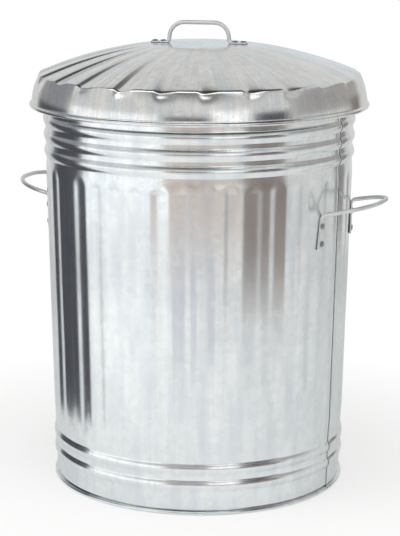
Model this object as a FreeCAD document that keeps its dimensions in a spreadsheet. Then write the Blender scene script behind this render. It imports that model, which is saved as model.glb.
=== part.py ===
import FreeCAD, Part
import math
import operator
import os
from types import SimpleNamespace

import Sketcher

# Galvanised steel dustbin with a lift-off lid, about 90 litres.
#
# Millimetres, +Z up.  The origin is the centre of the circle on which the bin
# stands.  The front of the bin looks along -Y.  The side seam is at
# seam_direction, and the two wire handles sit beside the seam and opposite it.
#
# The wall is one sheet: plain at the foot, two swaged beads, a fluted band,
# three more beads and a straight neck that ends in a rolled rim.  The lid is
# another sheet, pressed with radial flutes that run out at its flat centre.

SIZES = (
    ("sheet", 0.8, "thickness of the zinc-coated steel sheet"),
    ("body_height", 609, "top of the rolled rim of the bin"),
    ("wall_foot_radius", 215.9, "outside of the plain wall, drawn down to the floor"),
    ("wall_taper", 0.0266, "growth of the wall's radius for each millimetre of height"),
    ("foot_rim_rise", 4.1, "how far the rolled foot rim stands out of the wall's foot"),
    ("foot_rim_height", 5, "height of the rolled foot rim"),
    ("pan_recess", 21.2, "floor to the underside of the base pan"),
    ("pan_clearance", 0.35, "wall to the flange of the base pan"),
    ("bead_width", 16, "width of a swaged bead"),
    ("bead_rise", 2.8, "how far a bead stands out of the wall"),
    ("low_bead_height", 42.5, "centre of the lowest bead"),
    ("low_bead_pitch", 24.5, "between the two lower beads"),
    ("high_bead_height", 499.5, "centre of the lowest of the three upper beads"),
    ("high_bead_pitch", 24, "between neighbours of the three upper beads"),
    ("flute_count", 42, "flute pitches round the wall, one of them left plain"),
    ("flute_low_gap", 23, "crest of the bead below up to the flutes' lower end"),
    ("flute_low_run", 22, "length in which the flutes run out at the bottom"),
    ("flute_high_gap", 15.5, "crest of the bead above down to the flutes' upper end"),
    ("flute_high_run", 16, "length in which the flutes run out at the top"),
    ("flute_rise", 1.2, "how far the lands stand out of the plain wall"),
    ("flute_depth", 2.4, "land to floor of a flute"),
    ("flute_width", 0.76, "mouth of a flute, as a share of its pitch"),
    ("flute_floor", 0.32, "floor of a flute, as a share of its pitch"),
    ("ledge", 0.1, "step from a bead zone to the fluted band"),
    ("rim_roll", 5.6, "how far the rolled rim stands out of the neck"),
    ("rim_roll_height", 6, "height of the rolled rim"),
    ("rim_roll_bevel", 1.8, "rounding of the rolled rim, taken as a bevel"),
    ("seam_direction", -27, "direction of the side seam, in degrees from +X"),
    ("seam_angle", 2.3, "width of the folded seam, in degrees of the wall"),
    ("seam_rise", 0.8, "how far the folded seam stands out"),
    ("seam_bite", 0.4, "how far the seam's strip reaches into the sheet"),
    ("wire", 6.2, "thickness of the handle wire"),
    ("leg_pitches", 4, "flute pitches from one leg of a side handle to the other"),
    ("leg_width_low", 17, "width of a flattened leg at its lower end"),
    ("leg_width_high", 8, "width of a flattened leg at its upper end"),
    ("leg_thickness", 3, "thickness of a flattened leg"),
    ("leg_low", 375, "lower end of a leg"),
    ("leg_high", 428.5, "upper end of a leg"),
    ("leg_rivet_low", 383, "lower rivet of a leg"),
    ("leg_rivet_high", 409, "upper rivet of a leg"),
    ("loop_height", 425, "centre of the wire where it leaves the leg"),
    ("loop_rise", 14, "how far the loop climbs to its tip"),
    ("loop_reach", 292, "outside of the loop, from the bin's axis"),
    ("loop_corner", 60, "bend of the loop, on the wire's centre line"),
    ("rivet_head_radius", 4.6, "corner radius of a rivet's head"),
    ("rivet_head_height", 1.9, "height of a rivet's head"),
    ("rivet_shank", 2.5, "corner radius of a rivet's shank"),
    ("rivet_clearance", 0.1, "shank to hole"),
    ("rivet_tail", 1, "end of the shank that stands out behind the sheet"),
    ("lid_seat_gap", 0.3, "rim of the bin to the underside of the lid's flutes"),
    ("lid_flute_count", 24, "radial flutes of the lid"),
    ("lid_flute_mouth", 5.5, "mouth of a lid flute, in degrees"),
    ("lid_flute_floor", 1.2, "floor of a lid flute, in degrees"),
    ("lid_flute_depth", 5.3, "depth of a lid flute at the corner"),
    ("lid_disc_radius", 73, "flat centre of the lid"),
    ("lid_crown_height", 42.8, "lid corner to the flat centre"),
    ("lid_dome_radius", 148.8, "where the height of the lid's dome is given"),
    ("lid_dome_height", 29.6, "lid corner to the dome at that radius"),
    ("lid_corner_radius", 239.3, "corner between dome and skirt"),
    ("lid_waist_radius", 247.4, "skirt of the lid, half way down"),
    ("lid_waist_drop", 22.2, "lid corner down to the half way mark"),
    ("lid_hem_radius", 250.5, "centre of the lid's rolled hem"),
    ("lid_hem_drop", 45.5, "lid corner down to the centre of the hem"),
    ("lid_hem", 6.4, "thickness of the rolled hem"),
    ("grip_turn", -12, "direction of the lid handle, in degrees from +X"),
    ("grip_height", 31.5, "flat centre of the lid to the middle of the grip wire"),
    ("grip_half_top", 43, "middle of the lid handle to the bend of its wire"),
    ("grip_half_foot", 46, "middle of the lid handle to the foot of its wire"),
    ("grip_corner", 22, "bend of the lid handle, on the wire's centre line"),
    ("grip_foot_end", 73, "middle of the lid handle to the end of a foot"),
    ("grip_foot_width", 12, "width of a flattened foot of the lid handle"),
    ("grip_foot_overlap", 4, "how far a foot reaches in under its wire"),
    ("grip_rivet_gap", 0.8, "wire of the lid handle to the head of an inner rivet"),
    ("grip_rivet_outer", 67, "middle of the lid handle to the outer rivets"),
)

# Round things that are small and repeated, or pressed into facets, have flats.
WIRE_SIDES = 6
HEAD_SIDES = 8
SHANK_SIDES = 6
LID_SKIRT_SIDES = 3  # for each flute of the lid
OVERSHOOT = 1  # how far a cutting shape passes the end of what it cuts

doc = FreeCAD.newDocument("dustbin")
sheet = doc.addObject("Spreadsheet::Sheet", "Sizes")
for row, (alias, number, meaning) in enumerate(SIZES, start=1):
    sheet.set("A%d" % row, alias)
    sheet.set("B%d" % row, str(number))
    sheet.set("C%d" % row, meaning)
    sheet.setAlias("B%d" % row, alias)
doc.recompute()


# ---------------------------------------------------------------- sizes

class Size:
    """A number together with the sheet formula that gives it."""

    def __init__(self, value, formula):
        self.value = float(value)
        self.formula = formula

    def __add__(self, other):
        return combine(self, "+", other)

    def __sub__(self, other):
        return combine(self, "-", other)

    def __mul__(self, other):
        return combine(self, "*", other)

    def __truediv__(self, other):
        return combine(self, "/", other)

    def __neg__(self):
        return combine(0, "-", self)


SIGNS = {"+": operator.add, "-": operator.sub, "*": operator.mul, "/": operator.truediv}


def as_size(number):
    """Return a Size for a Size or for a plain number."""
    if isinstance(number, Size):
        return number
    return Size(number, repr(float(number)))


def combine(left, sign, right):
    """Join two sizes into one, in value and in formula."""
    left = as_size(left)
    right = as_size(right)
    value = SIGNS[sign](left.value, right.value)
    return Size(value, "(%s %s %s)" % (left.formula, sign, right.formula))


s = SimpleNamespace()
for alias, number, meaning in SIZES:
    setattr(s, alias, Size(sheet.get(alias), "Sizes." + alias))
n = SimpleNamespace()
for alias, number, meaning in SIZES:
    setattr(n, alias, float(sheet.get(alias)))

flute_count = int(round(n.flute_count))
lid_flute_count = int(round(n.lid_flute_count))
flute_pitch = 360 / flute_count


def wall_radius(height):
    """Outside radius of the plain tapered wall at a height."""
    return s.wall_foot_radius + s.wall_taper * height


def wall_at(height):
    """The same radius as a plain number."""
    return n.wall_foot_radius + n.wall_taper * height


neck_foot = s.high_bead_height + s.high_bead_pitch * 2 + s.bead_width / 2
neck_radius = wall_radius(neck_foot)
flute_low_end = s.low_bead_height + s.low_bead_pitch + s.flute_low_gap
flute_low_full = flute_low_end + s.flute_low_run
flute_high_end = s.high_bead_height - s.flute_high_gap
flute_high_full = flute_high_end - s.flute_high_run


# ---------------------------------------------------------------- building helpers

def origin_plane(body, role):
    """Find one of the body's own origin planes."""
    for item in body.Origin.OriginFeatures:
        if item.Role == role:
            return item
    raise RuntimeError("no plane " + role)


def pin_point(sketch, edge, axis, size):
    """Hold the start of an edge at a distance from the sketch origin."""
    size = as_size(size)
    if size.formula == "0.0":
        axis_line = -2 if axis == "DistanceX" else -1
        sketch.addConstraint(Sketcher.Constraint("PointOnObject", edge, 1, axis_line))
        return
    index = sketch.addConstraint(Sketcher.Constraint(axis, -1, 1, edge, 1, size.value))
    sketch.setExpression("Constraints[%d]" % index, size.formula)


def outline(body, name, role, corners):
    """Draw a closed outline through corners that the sheet's sizes place."""
    sketch = body.newObject("Sketcher::SketchObject", name)
    sketch.AttachmentSupport = [(origin_plane(body, role), "")]
    sketch.MapMode = "FlatFace"
    places = [FreeCAD.Vector(as_size(x).value, as_size(y).value, 0) for x, y in corners]
    for start, end in zip(places, places[1:] + places[:1]):
        sketch.addGeometry(Part.LineSegment(start, end), False)
    count = len(corners)
    for edge in range(count):
        following = (edge + 1) % count
        sketch.addConstraint(Sketcher.Constraint("Coincident", edge, 2, following, 1))
    for edge, (x, y) in enumerate(corners):
        pin_point(sketch, edge, "DistanceX", x)
        pin_point(sketch, edge, "DistanceY", y)
    return sketch


def revolved_body(label, corners, angle=None):
    """Turn an outline, given as radius and height, about the body's Z axis."""
    body = doc.addObject("PartDesign::Body", label)
    sketch = outline(body, label + "_outline", "XZ_Plane", corners)
    turn = body.newObject("PartDesign::Revolution", label + "_turn")
    turn.Profile = (sketch, [""])
    turn.ReferenceAxis = (sketch, ["V_Axis"])
    turn.Angle = 360
    if angle is not None:
        turn.Angle = angle.value
        turn.Midplane = True
        turn.setExpression("Angle", angle.formula)
    sketch.Visibility = False
    return body


def computed(label, shape, placement=None):
    """Add a shape that was worked out here from the sheet's sizes."""
    item = doc.addObject("Part::Feature", label)
    item.Shape = shape
    if placement is not None:
        item.Placement = placement
    return item


def at_angle(degrees, radius, height):
    """A point from its direction, radius and height."""
    turn = math.radians(degrees)
    return FreeCAD.Vector(radius * math.cos(turn), radius * math.sin(turn), height)


def face(*corners):
    """A flat face through its corners."""
    return Part.Face(Part.makePolygon(list(corners) + [corners[0]]))


def strip(lower, upper):
    """Flat triangles between two rings of (angle, point), whatever their counts."""
    low = lower + [(lower[0][0] + 360, lower[0][1])]
    high = upper + [(upper[0][0] + 360, upper[0][1])]
    faces = []
    i = 0
    j = 0
    while i < len(lower) or j < len(upper):
        take_low = j == len(upper)
        if i < len(lower) and j < len(upper):
            take_low = low[i + 1][0] <= high[j + 1][0] + 1e-6
        if take_low:
            faces.append(face(low[i][1], low[i + 1][1], high[j][1]))
            i += 1
        else:
            faces.append(face(low[i][1], high[j + 1][1], high[j][1]))
            j += 1
    return faces


def ringed_solid(rings):
    """A solid whose skin passes through rings, closed flat at both ends."""
    faces = []
    for lower, upper in zip(rings, rings[1:]):
        faces.extend(strip(lower, upper))
    for ring in (rings[0], rings[-1]):
        faces.append(face(*[point for angle, point in ring]))
    solid = Part.Solid(Part.Shell(faces))
    if solid.Volume < 0:
        solid.reverse()
    return solid.removeSplitter()


def hide(*items):
    """Mark construction objects as hidden."""
    for item in items:
        item.Visibility = False


def rounded_path(corners, radius):
    """Straight runs joined by tangent arcs of one radius at the inner corners."""
    edges = []
    start = corners[0]
    for before, corner, after in zip(corners, corners[1:], corners[2:]):
        back = (before - corner).normalize()
        ahead = (after - corner).normalize()
        half_turn = back.getAngle(ahead) / 2
        reach = radius / math.tan(half_turn)
        arc_start = corner + back * reach
        arc_end = corner + ahead * reach
        middle = (back + ahead).normalize()
        arc_middle = corner + middle * (radius / math.sin(half_turn) - radius)
        edges.append(Part.LineSegment(start, arc_start).toShape())
        edges.append(Part.Arc(arc_start, arc_middle, arc_end).toShape())
        start = arc_end
    edges.append(Part.LineSegment(start, corners[-1]).toShape())
    return Part.Wire(edges)


def wire_solid(corners, radius, side):
    """Sweep the wire's section along a path; side is square to the path's plane."""
    path = rounded_path(corners, radius)
    ahead = (corners[1] - corners[0]).normalize()
    across = ahead.cross(side).normalize()
    section = []
    for step in range(WIRE_SIDES):
        turn = 2 * math.pi * step / WIRE_SIDES
        offset = side * math.cos(turn) + across * math.sin(turn)
        section.append(corners[0] + offset * (n.wire / 2))
    return path.makePipeShell([Part.makePolygon(section + section[:1])], True, False)


# ---------------------------------------------------------------- base pan

# The pan stands on its rolled rim, which also carries the wall's lower edge.
# Its flange goes up inside the wall and holds the floor clear of the ground.
pan_flange = wall_radius(s.foot_rim_height) - s.sheet - s.pan_clearance
pan_top = s.pan_recess + s.sheet
foot_rim_radius = s.wall_foot_radius + s.foot_rim_rise
base_pan = revolved_body("base_pan", (
    (0, s.pan_recess),
    (pan_flange - s.sheet, s.pan_recess),
    (pan_flange - s.sheet, 0),
    (foot_rim_radius, 0),
    (foot_rim_radius, s.foot_rim_height),
    (pan_flange, s.foot_rim_height),
    (pan_flange, pan_top),
    (0, pan_top),
))


# ---------------------------------------------------------------- wall of the bin

def bead(height):
    """Foot, crest and foot of a swaged bead, as radius and height."""
    low = height - s.bead_width / 2
    high = height + s.bead_width / 2
    return [
        (wall_radius(low), low),
        (wall_radius(height) + s.bead_rise, height),
        (wall_radius(high), high),
    ]


low_line = [(wall_radius(s.foot_rim_height), s.foot_rim_height)]
for step in range(2):
    low_line += bead(s.low_bead_height + s.low_bead_pitch * step)
low_line.append((wall_radius(flute_low_end), flute_low_end))

high_line = [(wall_radius(flute_high_end), flute_high_end)]
for step in range(3):
    high_line += bead(s.high_bead_height + s.high_bead_pitch * step)
roll_foot = s.body_height - s.rim_roll_height
roll_middle = s.body_height - s.rim_roll_height / 2
high_line.append((neck_radius, roll_foot))
roll_line = [
    (neck_radius + s.rim_roll - s.rim_roll_bevel, roll_foot),
    (neck_radius + s.rim_roll, roll_middle),
    (neck_radius + s.rim_roll - s.rim_roll_bevel, s.body_height),
]

low_zone = revolved_body(
    "low_zone",
    [(0, s.foot_rim_height)] + low_line + [(0, flute_low_end)],
)
high_zone = revolved_body(
    "high_zone",
    [(0, flute_high_end)] + high_line + roll_line + [(0, s.body_height)],
)


def plain_ring(height, radius):
    """Two corners for each flute pitch, on the plain wall."""
    ring = []
    for pitch in range(flute_count):
        for share in (-0.25, 0.25):
            angle = n.seam_direction + (pitch + share) * flute_pitch
            ring.append((angle, at_angle(angle, radius, height)))
    return ring


def fluted_ring(height, land):
    """Four corners for each pitch: land, floor, floor, land; no flute at the seam."""
    keep = 1 - n.flute_depth / land_at(flute_high_full.value)
    mouth = n.flute_width / 2
    floor = n.flute_floor / 2
    ring = []
    for pitch in range(flute_count):
        floor_radius = land * keep if pitch else land
        corners = ((-mouth, land), (-floor, floor_radius), (floor, floor_radius), (mouth, land))
        for share, radius in corners:
            angle = n.seam_direction + (pitch + share) * flute_pitch
            ring.append((angle, at_angle(angle, radius, height)))
    return ring


def land_at(height):
    """Radius of the lands between the flutes at a height."""
    return wall_at(height) + n.flute_rise


def fluted_rings(inset, step):
    """The four rings of the fluted band, set in from the outside by inset."""
    return [
        plain_ring(flute_low_end.value, wall_at(flute_low_end.value) - inset - step),
        fluted_ring(flute_low_full.value, land_at(flute_low_full.value) - inset),
        fluted_ring(flute_high_full.value, land_at(flute_high_full.value) - inset),
        plain_ring(flute_high_end.value, wall_at(flute_high_end.value) - inset - step),
    ]


fluted_band = computed("fluted_band", ringed_solid(fluted_rings(0, n.ledge)))

# The inside of the sheet, drawn past both ends of the wall.
foot = n.foot_rim_height - OVERSHOOT
hollow_rings = [plain_ring(foot, wall_at(foot) - n.sheet)]
hollow_rings += fluted_rings(n.sheet, 0)
hollow_rings.append(plain_ring(neck_foot.value, neck_radius.value - n.sheet))
hollow_rings.append(plain_ring(n.body_height + OVERSHOOT, neck_radius.value - n.sheet))
hollow = computed("hollow", ringed_solid(hollow_rings))

# The folded side seam is a strip that follows the wall over every bead.
fluted_line = [
    (wall_radius(flute_low_full) + s.flute_rise, flute_low_full),
    (wall_radius(flute_high_full) + s.flute_rise, flute_high_full),
]
seam_line = low_line + fluted_line + high_line
seam_outside = [(radius + s.seam_rise, height) for radius, height in seam_line]
seam_inside = [(radius - s.seam_bite, height) for radius, height in seam_line]
side_seam = revolved_body("side_seam", seam_outside + seam_inside[::-1], s.seam_angle)
side_seam.setExpression("Placement.Rotation.Angle", "Sizes.seam_direction")

wall_outside = doc.addObject("Part::MultiFuse", "wall_outside")
wall_outside.Shapes = [low_zone, fluted_band, high_zone, side_seam]
wall_sheet = doc.addObject("Part::Cut", "wall_sheet")
wall_sheet.Base = wall_outside
wall_sheet.Tool = hollow
hide(low_zone, high_zone, fluted_band, side_seam, wall_outside, hollow)


# ---------------------------------------------------------------- rivets

def padded(body, name, radius, sides, length):
    """Pad an even-sided outline, centred on the body's Z axis."""
    corners = []
    for step in range(sides):
        turn = 2 * math.pi * (step + 0.5) / sides
        corners.append((radius * math.cos(turn), radius * math.sin(turn)))
    sketch = outline(body, name + "_outline", "XY_Plane", corners)
    sketch.Visibility = False
    pad = body.newObject("PartDesign::Pad", name)
    pad.Profile = (sketch, [""])
    pad.Length = length.value
    pad.setExpression("Length", length.formula)
    return pad


def rivet_body(label, grip_thickness, placement):
    """A flat-headed rivet; its seat is at z = 0 and the shank goes down."""
    body = doc.addObject("PartDesign::Body", label)
    padded(body, label + "_head", s.rivet_head_radius, HEAD_SIDES, s.rivet_head_height)
    length = grip_thickness + s.rivet_tail
    shank = padded(body, label + "_shank", s.rivet_shank, SHANK_SIDES, length)
    shank.Reversed = True
    body.Placement = placement
    return body


def rivet_hole(label, grip_thickness, placement):
    """The hole for a rivet's shank, through a leg and the sheet."""
    hole = doc.addObject("Part::Prism", label)
    hole.Polygon = SHANK_SIDES
    radius = s.rivet_shank + s.rivet_clearance
    length = grip_thickness + s.rivet_tail * 2
    hole.setExpression("Circumradius", radius.formula)
    hole.setExpression("Height", length.formula)
    half_side = FreeCAD.Rotation(FreeCAD.Vector(0, 0, 1), 180 / SHANK_SIDES)
    drop = FreeCAD.Vector(0, 0, -grip_thickness.value - n.rivet_tail)
    hole.Placement = placement * FreeCAD.Placement(drop, half_side)
    hide(hole)
    return hole


def riveted(label, blank, holes):
    """Cut a blank with all its rivet holes."""
    holes_together = doc.addObject("Part::Compound", label + "_holes")
    holes_together.Links = holes
    item = doc.addObject("Part::Cut", label)
    item.Base = blank
    item.Tool = holes_together
    hide(blank, holes_together)
    return item


# ---------------------------------------------------------------- side handles

leg_angle = n.leg_pitches * flute_pitch / 2
wall_lean = math.degrees(math.atan(n.wall_taper))
land_half = math.radians((1 - n.flute_width) / 2 * flute_pitch)
leg_grip = s.leg_thickness + s.sheet


def leg_place(direction, height):
    """Frame on a land: X out of the wall, Y along it and Z up the wall."""
    flat_radius = land_at(height) * math.cos(land_half)
    turn = FreeCAD.Rotation(FreeCAD.Vector(0, 0, 1), direction)
    lean = FreeCAD.Rotation(FreeCAD.Vector(0, 1, 0), wall_lean)
    return FreeCAD.Placement(at_angle(direction, flat_radius, height), turn * lean)


def rivet_place(direction, height):
    """Frame of a rivet's seat on a leg, with Z out of the wall."""
    seat = FreeCAD.Placement(
        FreeCAD.Vector(n.leg_thickness, 0, 0),
        FreeCAD.Rotation(FreeCAD.Vector(0, 1, 0), 90),
    )
    return leg_place(direction, height) * seat


def side_handle_shape(direction):
    """Two flat legs on the wall and the loop of wire between them."""
    shape = None
    leg_length = (n.leg_high - n.leg_low) / math.cos(math.radians(wall_lean))
    low = n.leg_width_low / 2
    high = n.leg_width_high / 2
    corners = ((-low, 0), (low, 0), (high, leg_length), (-high, leg_length))
    blade = face(*[FreeCAD.Vector(0, y, z) for y, z in corners])
    for side in (-1, 1):
        leg = blade.extrude(FreeCAD.Vector(n.leg_thickness, 0, 0))
        leg.Placement = leg_place(direction + side * leg_angle, n.leg_low)
        shape = leg if shape is None else shape.fuse(leg)
    middle = land_at(n.loop_height) + n.leg_thickness / 2
    half_width = middle * math.sin(math.radians(leg_angle))
    root = middle * math.cos(math.radians(leg_angle))
    tip = n.loop_reach - n.wire / 2
    top = n.loop_height + n.loop_rise
    corners = [
        FreeCAD.Vector(root, -half_width, n.loop_height),
        FreeCAD.Vector(tip, -half_width, top),
        FreeCAD.Vector(tip, half_width, top),
        FreeCAD.Vector(root, half_width, n.loop_height),
    ]
    climb = math.atan2(n.loop_rise, tip - root)
    side = FreeCAD.Vector(-math.sin(climb), 0, math.cos(climb))
    loop = wire_solid(corners, n.loop_corner, side)
    loop.rotate(FreeCAD.Vector(0, 0, 0), FreeCAD.Vector(0, 0, 1), direction)
    return shape.fuse(loop).removeSplitter()


wall_holes = []
side_handles = []
rivets = []
# A leg stands on the land between two flutes, half a pitch from a flute's middle.
handle_direction = n.seam_direction + flute_pitch / 2
for label, direction in (
    ("right_handle", handle_direction),
    ("left_handle", handle_direction + 180),
):
    handle_holes = []
    for end, side in (("front", -1), ("rear", 1)):
        turn_side = side if label == "right_handle" else -side
        for level, height in (("upper", n.leg_rivet_high), ("lower", n.leg_rivet_low)):
            name = "%s_%s_%s_rivet" % (label, end, level)
            place = rivet_place(direction + turn_side * leg_angle, height)
            rivets.append(rivet_body(name, leg_grip, place))
            handle_holes.append(rivet_hole(name + "_hole", leg_grip, place))
    blank = computed(label + "_blank", side_handle_shape(direction))
    side_handles.append(riveted(label, blank, handle_holes))
    wall_holes += handle_holes

body_shell = riveted("body_shell", wall_sheet, wall_holes)


# ---------------------------------------------------------------- lid

def inset_line(line, distance):
    """Offset an open line of (radius, height) inwards, with mitred corners."""
    points = [FreeCAD.Vector(radius, 0, height) for radius, height in line]
    normals = []
    for start, end in zip(points, points[1:]):
        run = (end - start).normalize()
        normals.append(FreeCAD.Vector(run.z, 0, -run.x))
    moved = []
    for index, point in enumerate(points):
        before = normals[max(index - 1, 0)]
        after = normals[min(index, len(normals) - 1)]
        middle = (before + after).normalize()
        moved.append(point + middle * (distance / middle.dot(after)))
    return [(point.x, point.z) for point in moved]


dome_share = (n.lid_dome_radius - n.lid_disc_radius) / (n.lid_corner_radius - n.lid_disc_radius)
hem_top = -n.lid_hem_drop + n.lid_hem / 2 * math.sin(math.radians(60))
hem_half = n.lid_hem / 2 * math.cos(math.radians(60))
skirt_foot = (n.lid_hem_radius, hem_top)
land_line = [
    (n.lid_disc_radius, n.lid_crown_height),
    (n.lid_dome_radius, n.lid_dome_height),
    (n.lid_corner_radius, 0.0),
    (n.lid_waist_radius, -n.lid_waist_drop),
    skirt_foot,
]
dome_slope = math.atan(n.lid_crown_height / (n.lid_corner_radius - n.lid_disc_radius))
corner_pull = n.lid_flute_depth * math.sin(dome_slope)
floor_line = [
    (n.lid_disc_radius, n.lid_crown_height),
    (n.lid_dome_radius, n.lid_dome_height - n.lid_flute_depth * dome_share),
    (n.lid_corner_radius - corner_pull, -n.lid_flute_depth),
    (n.lid_waist_radius, -n.lid_waist_drop),
    skirt_foot,
]
land_inside = inset_line(land_line, n.sheet)
floor_inside = inset_line(floor_line, n.sheet)
flute_turn = 360 / lid_flute_count


def crown_ring(radius, height):
    """Two corners for each flute of the lid, at the flat centre's edge."""
    ring = []
    for step in range(lid_flute_count * 2):
        angle = step * flute_turn / 2
        ring.append((angle, at_angle(angle, radius, height)))
    return ring


def dome_ring(land, floor):
    """Five corners for each flute: floor, land, middle of the panel, land, floor."""
    floor_half = n.lid_flute_floor / 2
    mouth_half = n.lid_flute_mouth / 2
    corners = (
        (floor_half, floor),
        (mouth_half, land),
        (flute_turn / 2, land),
        (flute_turn - mouth_half, land),
        (flute_turn - floor_half, floor),
    )
    ring = []
    for step in range(lid_flute_count):
        for offset, (radius, height) in corners:
            angle = step * flute_turn + offset
            ring.append((angle, at_angle(angle, radius, height)))
    return ring


def skirt_ring(radius, height):
    """Even corners round the skirt and the hem of the lid."""
    ring = []
    for step in range(lid_flute_count * LID_SKIRT_SIDES):
        angle = step * flute_turn / LID_SKIRT_SIDES
        ring.append((angle, at_angle(angle, radius, height)))
    return ring


def lid_skin(land, floor):
    """Rings from the flat centre over dome and corner to half way down the skirt."""
    return [
        crown_ring(*land[0]),
        dome_ring(land[1], floor[1]),
        dome_ring(land[2], floor[2]),
        skirt_ring(*land[3]),
    ]


hem_middle = -n.lid_hem_drop
hem_foot = hem_middle * 2 - hem_top
hem_rings = [
    skirt_ring(n.lid_hem_radius + hem_half, hem_top),
    skirt_ring(n.lid_hem_radius + n.lid_hem / 2, hem_middle),
    skirt_ring(n.lid_hem_radius + hem_half, hem_foot),
    skirt_ring(n.lid_hem_radius - hem_half, hem_foot),
    skirt_ring(n.lid_hem_radius - hem_half, hem_top),
]
lid_rings = lid_skin(land_line, floor_line) + hem_rings
lid_rings += lid_skin(land_inside, floor_inside)[::-1]

# The lid comes down until the undersides of its flutes meet the bin's rim.
seat_radius = neck_radius.value + n.rim_roll - n.rim_roll_bevel
(inner_radius, inner_height), (outer_radius, outer_height) = floor_inside[1:3]
seat_share = (seat_radius - inner_radius) / (outer_radius - inner_radius)
seat_drop = inner_height + (outer_height - inner_height) * seat_share
lid_height = n.body_height + n.lid_seat_gap - seat_drop
lid_place = FreeCAD.Placement(FreeCAD.Vector(0, 0, lid_height), FreeCAD.Rotation())
lid_blank = computed("lid_blank", ringed_solid(lid_rings), lid_place)


# ---------------------------------------------------------------- lid handle

grip_place = FreeCAD.Placement(
    FreeCAD.Vector(0, 0, lid_height + n.lid_crown_height),
    FreeCAD.Rotation(FreeCAD.Vector(0, 0, 1), n.grip_turn),
)


def lid_handle_shape():
    """Two flat feet on the lid and the arch of wire between them."""
    middle = n.leg_thickness / 2
    corners = [
        FreeCAD.Vector(-n.grip_half_foot, 0, middle),
        FreeCAD.Vector(-n.grip_half_top, 0, n.grip_height),
        FreeCAD.Vector(n.grip_half_top, 0, n.grip_height),
        FreeCAD.Vector(n.grip_half_foot, 0, middle),
    ]
    shape = wire_solid(corners, n.grip_corner, FreeCAD.Vector(0, 1, 0))
    inner_end = n.grip_half_foot - n.grip_foot_overlap
    foot_length = n.grip_foot_end - inner_end
    for start in (-n.grip_foot_end, inner_end):
        grip_foot = Part.makeBox(foot_length, n.grip_foot_width, n.leg_thickness)
        grip_foot.translate(FreeCAD.Vector(start, -n.grip_foot_width / 2, 0))
        shape = shape.fuse(grip_foot)
    return shape.removeSplitter()


grip_rivet_inner = n.grip_half_foot + n.wire / 2 + n.grip_rivet_gap + n.rivet_head_radius
grip_holes = []
for end, side in (("left", -1), ("right", 1)):
    for level, reach in (("inner", grip_rivet_inner), ("outer", n.grip_rivet_outer)):
        name = "lid_handle_%s_%s_rivet" % (end, level)
        seat = FreeCAD.Vector(side * reach, 0, n.leg_thickness)
        place = grip_place * FreeCAD.Placement(seat, FreeCAD.Rotation())
        rivets.append(rivet_body(name, leg_grip, place))
        grip_holes.append(rivet_hole(name + "_hole", leg_grip, place))
grip_blank = computed("lid_handle_blank", lid_handle_shape(), grip_place)
lid_handle = riveted("lid_handle", grip_blank, grip_holes)
lid_shell = riveted("lid_shell", lid_blank, grip_holes)


# ---------------------------------------------------------------- check and write

doc.recompute()
for item in doc.Objects:
    if "Invalid" in item.State or "Error" in item.State:
        raise RuntimeError("%s did not build: %s" % (item.Label, item.State))

nodes = [body_shell, base_pan, lid_shell, lid_handle] + side_handles + rivets
for node in nodes:
    if node.Shape.isNull() or not node.Shape.isValid():
        raise RuntimeError(node.Label + " has no valid shape")
    if len(node.Shape.Solids) != 1:
        raise RuntimeError("%s has %d solids" % (node.Label, len(node.Shape.Solids)))

os.makedirs("parts", exist_ok=True)
for node in nodes:
    node.Shape.exportStep("parts/%s.step" % node.Label)
print("%d nodes, lid corner at %.2f mm" % (len(nodes), lid_height))
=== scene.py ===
"""Looks of a galvanised steel dustbin with a lift-off lid.

Metres, +Z up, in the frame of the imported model: the origin is the centre of the circle on which the bin
stands, and its front looks along -Y.  Directions round the bin are degrees from +X towards +Y.
"""

import math

import bmesh
import bpy
import numpy as np
from bpy.props import (
    FloatProperty, FloatVectorProperty, IntProperty, PointerProperty, StringProperty,
)
from mathutils import Matrix, Vector


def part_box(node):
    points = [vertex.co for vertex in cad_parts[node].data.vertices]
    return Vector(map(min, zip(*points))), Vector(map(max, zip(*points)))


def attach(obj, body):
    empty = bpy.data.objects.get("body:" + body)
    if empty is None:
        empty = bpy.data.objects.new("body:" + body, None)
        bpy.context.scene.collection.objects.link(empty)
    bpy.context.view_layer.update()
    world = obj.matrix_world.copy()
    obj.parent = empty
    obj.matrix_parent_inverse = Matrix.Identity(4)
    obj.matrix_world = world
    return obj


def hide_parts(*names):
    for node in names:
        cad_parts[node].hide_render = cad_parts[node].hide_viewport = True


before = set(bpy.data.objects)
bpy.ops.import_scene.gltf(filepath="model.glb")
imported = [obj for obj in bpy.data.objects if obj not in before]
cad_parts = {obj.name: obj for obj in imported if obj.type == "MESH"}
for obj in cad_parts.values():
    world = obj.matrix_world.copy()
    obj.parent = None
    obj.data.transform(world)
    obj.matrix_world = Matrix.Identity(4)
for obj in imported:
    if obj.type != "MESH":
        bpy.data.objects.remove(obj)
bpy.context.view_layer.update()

bl_info = {
    "name": "Galvanised Dustbin",
    "version": (1, 0, 0),
    "blender": (4, 5, 0),
    "location": "View3D > Sidebar > Dustbin",
    "description": "Builds the sheet-metal and wire pieces of a galvanised dustbin round its frame",
    "category": "Object",
}


# ---------------- sizes and colours

def length(name, description, default):
    """A size, in metres."""
    return FloatProperty(
        name=name, description=description, default=default, unit="LENGTH", precision=5)


def degrees(name, description, default):
    """An angle, kept in radians and given here in degrees."""
    return FloatProperty(
        name=name, description=description, default=math.radians(default), subtype="ANGLE")


def share(name, description, default):
    """A plain number."""
    return FloatProperty(name=name, description=description, default=default, precision=4)


def paint(name, description, default):
    """A colour, as an sRGB hex value."""
    return StringProperty(name=name, description=description, default=default)


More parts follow.
